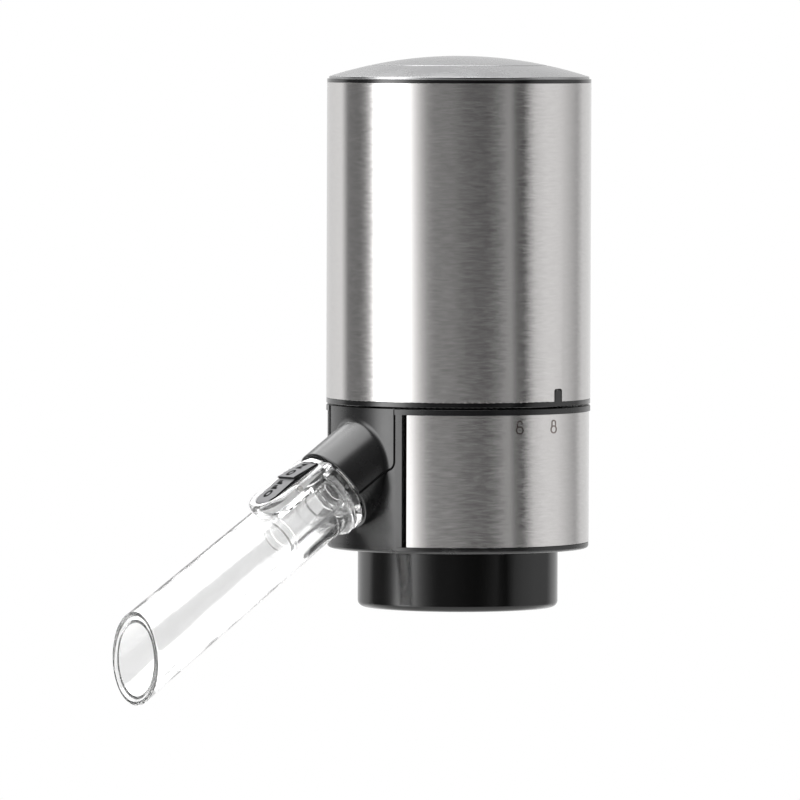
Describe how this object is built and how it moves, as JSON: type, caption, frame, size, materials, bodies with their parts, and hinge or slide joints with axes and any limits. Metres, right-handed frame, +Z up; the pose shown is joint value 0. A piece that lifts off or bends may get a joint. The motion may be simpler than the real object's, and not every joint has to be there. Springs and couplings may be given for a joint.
{
  "type": "electric wine aerator",
  "caption": "Battery wine aerator and pourer: steel barrel with push-button cap, twist lock, bottle sleeve, and a pull-off clear spout with a rocker valve.",
  "frame": {"origin": "centre of the bottle socket's mouth, on the body's axis", "axes": "+Z up along the body to the cap, -Y the way the spout points, +X to the side that carries the tick tab"},
  "size_m": [0.05, 0.0996, 0.1199],
  "materials": {
    "brushed_steel": "fine brushing round the body, satin",
    "black_plastic": "satin moulded",
    "silver_cap": "fine satin silver",
    "clear_plastic": "clear, polished",
    "channel_plastic": "frosted, translucent",
    "grey_plastic": "semi-gloss",
    "black_silicone": "smooth, semi-matte",
    "hose_silicone": "milky",
    "white_plastic": "moulded",
    "zinc_steel": "bright zinc plated",
    "screw_steel": "plated steel",
    "contact_brass": "plated",
    "board_green": "solder mask",
    "cell_jacket": "plain jacket",
    "switch_black": "moulded"
  },
  "bodies": {
    "lower_unit": {"base_housing": "black_plastic", "nozzle_cover": "black_plastic", "lower_band": "brushed_steel", "base_ring": "black_plastic", "base_screws": "screw_steel", "bottle_sleeve": "black_silicone", "port_manifold": "black_plastic", "wine_hose": "hose_silicone", "air_hose": "hose_silicone", "outlet_socket": "black_plastic", "motor_can": "zinc_steel", "motor_cap": "white_plastic", "pump_head": "white_plastic", "pump_cover": "white_plastic", "control_board": "board_green", "contact_deck": "black_plastic", "deck_screws": "screw_steel", "contact_rings": "contact_brass", "bayonet_ring": "black_plastic"},
    "upper_unit": {"upper_sleeve": "brushed_steel", "bezel_ring": "black_plastic", "bezel_screws": "screw_steel", "battery_cage": "black_plastic", "battery_cell_1": "cell_jacket", "battery_cell_2": "cell_jacket", "battery_cell_3": "cell_jacket", "battery_cell_4": "cell_jacket", "cell_contacts_top": "zinc_steel", "cell_contacts_bottom": "zinc_steel", "contact_pins": "contact_brass", "cap_rim": "black_plastic", "cap_screws": "screw_steel", "cap_dome": "silver_cap", "switch_board": "board_green", "button_switch": "switch_black", "button_spring": "screw_steel"},
    "power_button": {"power_button": "silver_cap"},
    "spout": {"spout_tube": "clear_plastic", "spout_rings": "black_silicone", "spout_channel": "channel_plastic", "rocker_pin": "screw_steel", "valve_bush": "black_silicone"},
    "rocker": {"valve_rocker": "grey_plastic"},
    "stem": {"valve_stem": "black_plastic"},
    "motor_shaft": {"pump_shaft": "zinc_steel"}
  },
  "joints": [
    {"name": "twist_lock", "type": "hinge", "parent": "lower_unit", "child": "upper_unit", "pos_m": [0, 0, 0.0384], "axis": [0, 0, 1], "range_deg": [-20, 0]},
    {"name": "button_press", "type": "slide", "parent": "upper_unit", "child": "power_button", "axis": [0, 0, -1], "range_m": [0, 0.001], "stiffness_N_per_m": 400, "springref_m": -0.001, "deforming": ["button_spring"]},
    {"name": "spout_pull", "type": "slide", "parent": "lower_unit", "child": "spout", "axis": [0, -0.8358, -0.549], "range_m": [0, 0.01]},
    {"name": "rocker_tip", "type": "hinge", "parent": "spout", "child": "rocker", "pos_m": [0, -0.04014, 0.02358], "axis": [-1, 0, 0], "range_deg": [0, 7]},
    {"name": "stem_push", "type": "slide", "parent": "spout", "child": "stem", "axis": [0, 0.549, -0.8358], "range_m": [0, 0.00062]},
    {"name": "motor_spin", "type": "hinge", "parent": "lower_unit", "child": "motor_shaft", "pos_m": [0, 0.0085, 0.0241], "axis": [1, 0, 0], "continuous": true}
  ],
  "couplings": [
    {"joint": "stem_push", "follows": "rocker_tip", "m_per_rad": 0.005}
  ]
}
